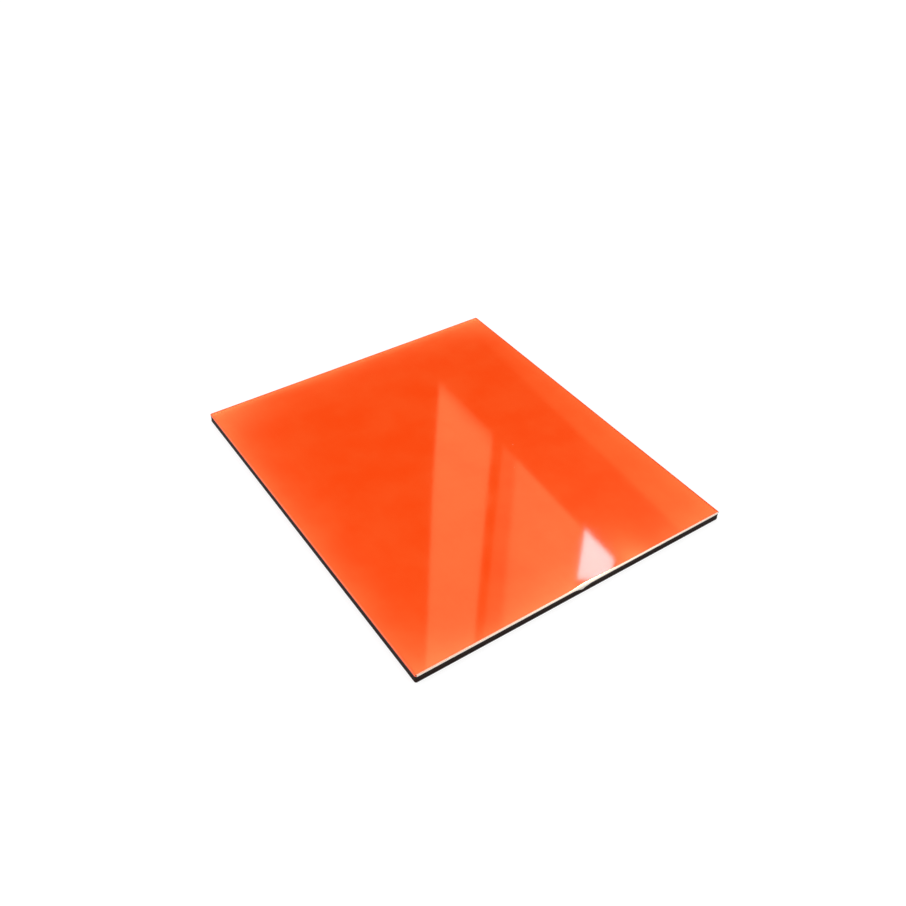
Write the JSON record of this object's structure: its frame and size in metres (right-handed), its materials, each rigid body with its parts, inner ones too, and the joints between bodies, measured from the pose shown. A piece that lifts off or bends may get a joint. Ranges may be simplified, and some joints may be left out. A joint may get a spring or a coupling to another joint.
{
  "type": "aluminium composite panel",
  "caption": "Flat gloss-painted aluminium composite panel: aluminium skins bonded to a solid dark polyethylene core, edges sheared.",
  "frame": {"origin": "middle of the back face, which lies on the surface the panel rests on", "axes": "+X along the panel's length, the rolling direction of both skins; +Y across its width; +Z out of the finish face"},
  "size_m": [0.175, 0.15, 0.004],
  "materials": {
    "face_coat": "gloss",
    "core": "matte",
    "back_coat": "satin"
  },
  "bodies": {
    "root": {"face_sheet": "face_coat", "core": "core", "back_sheet": "back_coat"}
  },
  "joints": []
}
